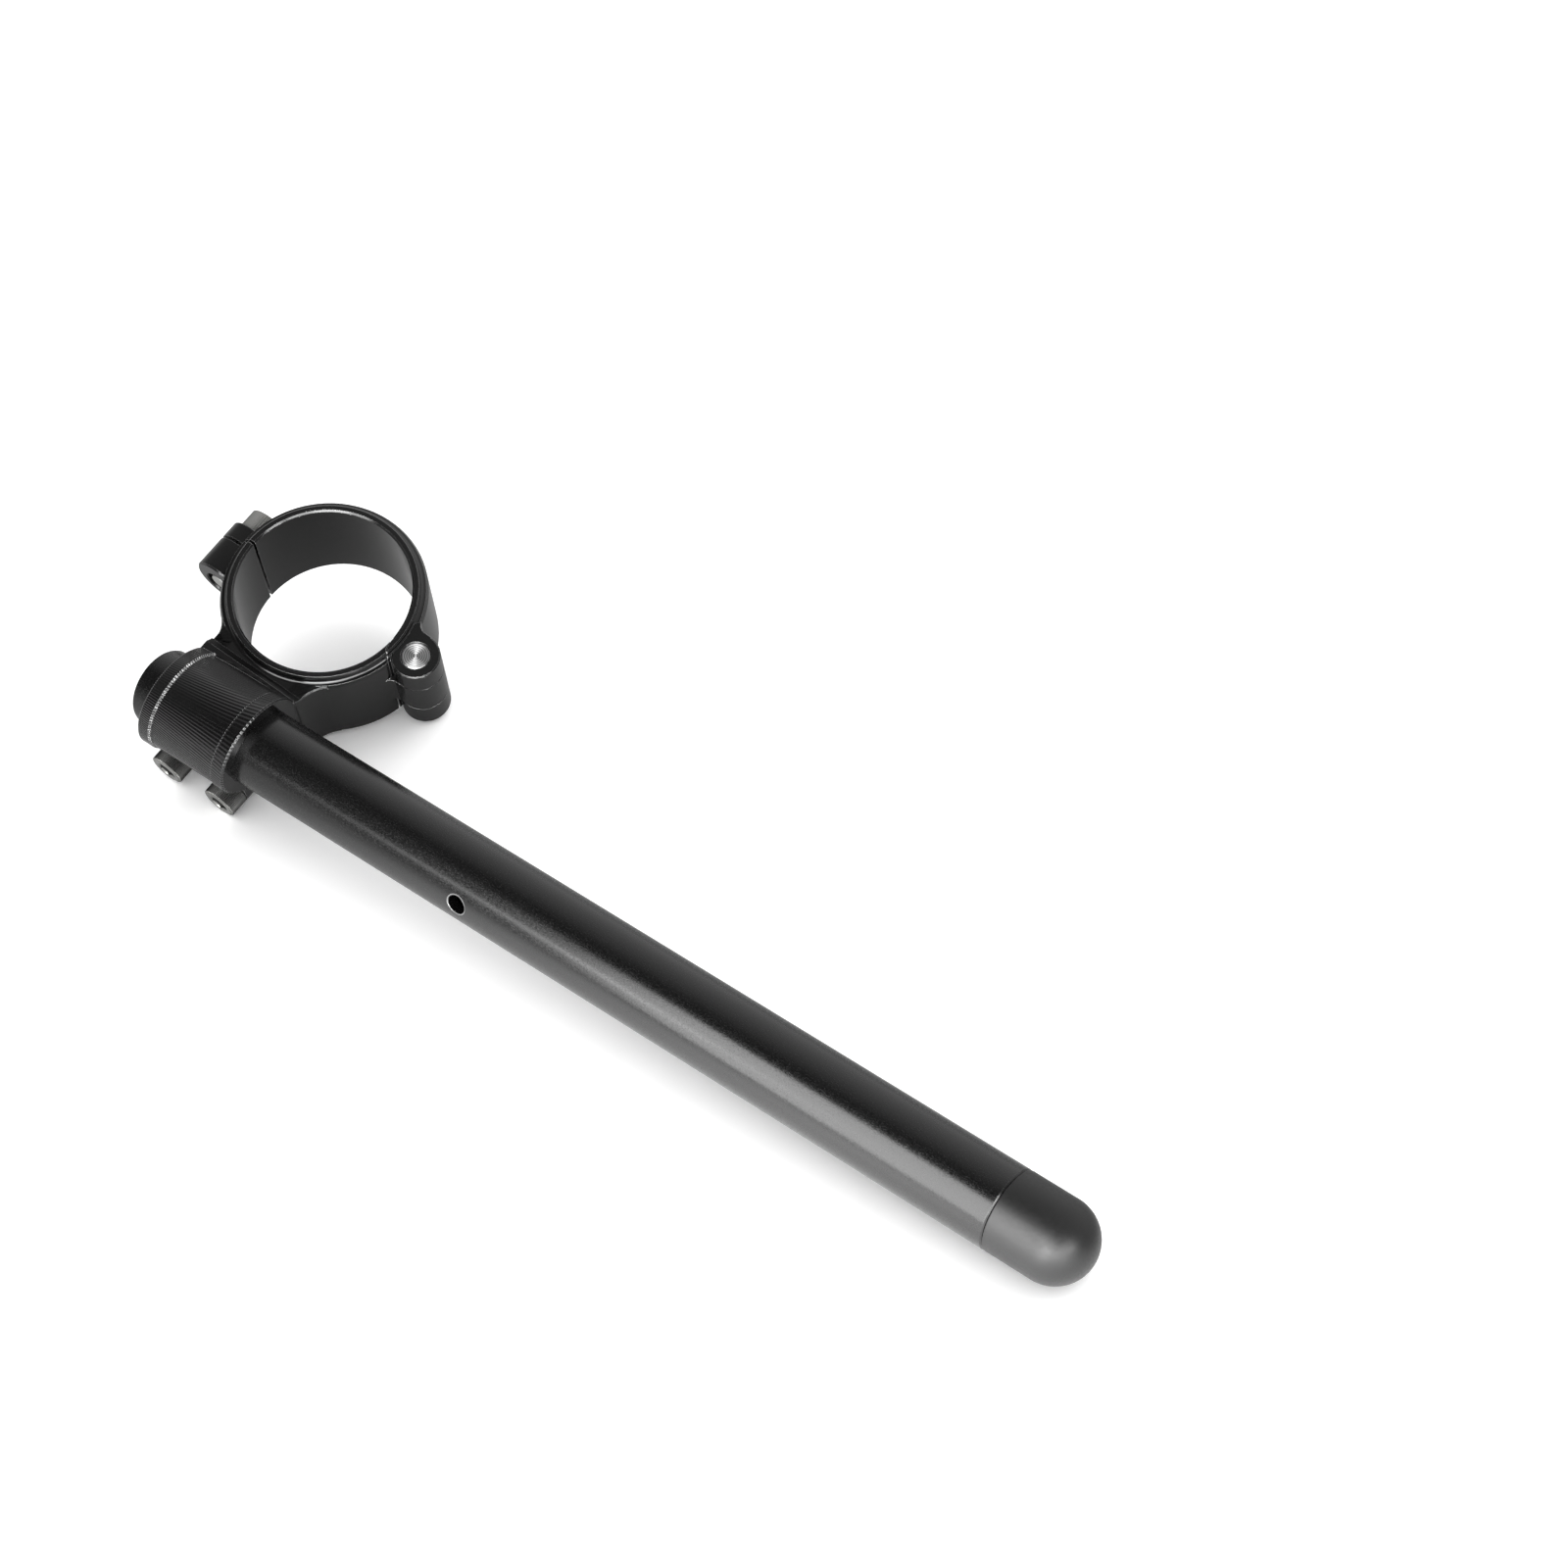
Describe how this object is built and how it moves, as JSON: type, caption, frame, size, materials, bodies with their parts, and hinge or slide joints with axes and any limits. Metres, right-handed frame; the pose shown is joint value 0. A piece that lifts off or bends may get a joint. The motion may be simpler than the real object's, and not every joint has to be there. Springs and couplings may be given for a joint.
{
  "type": "clip on handlebar",
  "caption": "Black clip on handlebar: a hinged fork clamp closed by a socket screw, with a pinched bar boss, a round bar and a domed end cap.",
  "frame": {"origin": "centre of the fork tube bore, at the middle of the ring's height", "axes": "+Z along the fork tube axis towards the side that shows the raised lip, +X along the bar towards its end cap, +Y from the bar towards the fork tube"},
  "size_m": [0.3208, 0.0898, 0.0922],
  "materials": {
    "satin_black": "satin black anodised",
    "bar_black": "satin black anodised",
    "steel": "turned",
    "screw_steel": "zinc plated, knurled head",
    "cap_black": "matte"
  },
  "bodies": {
    "body": {"clamp_body": "satin_black", "hinge_pin": "steel", "pinch_screw_inner": "screw_steel", "pinch_screw_outer": "screw_steel", "bar_tube": "bar_black", "end_cap": "cap_black"},
    "half": {"clamp_half": "satin_black"},
    "bolt": {"clamp_bolt": "screw_steel"}
  },
  "joints": [
    {"name": "half_hinge", "type": "hinge", "parent": "body", "child": "half", "pos_m": [0.0324, 0, 0], "axis": [0, 0, -1], "range_deg": [0, 60]},
    {"name": "bolt_draw", "type": "slide", "parent": "half", "child": "bolt", "axis": [0, 1, 0], "range_m": [0, 0.016]}
  ]
}
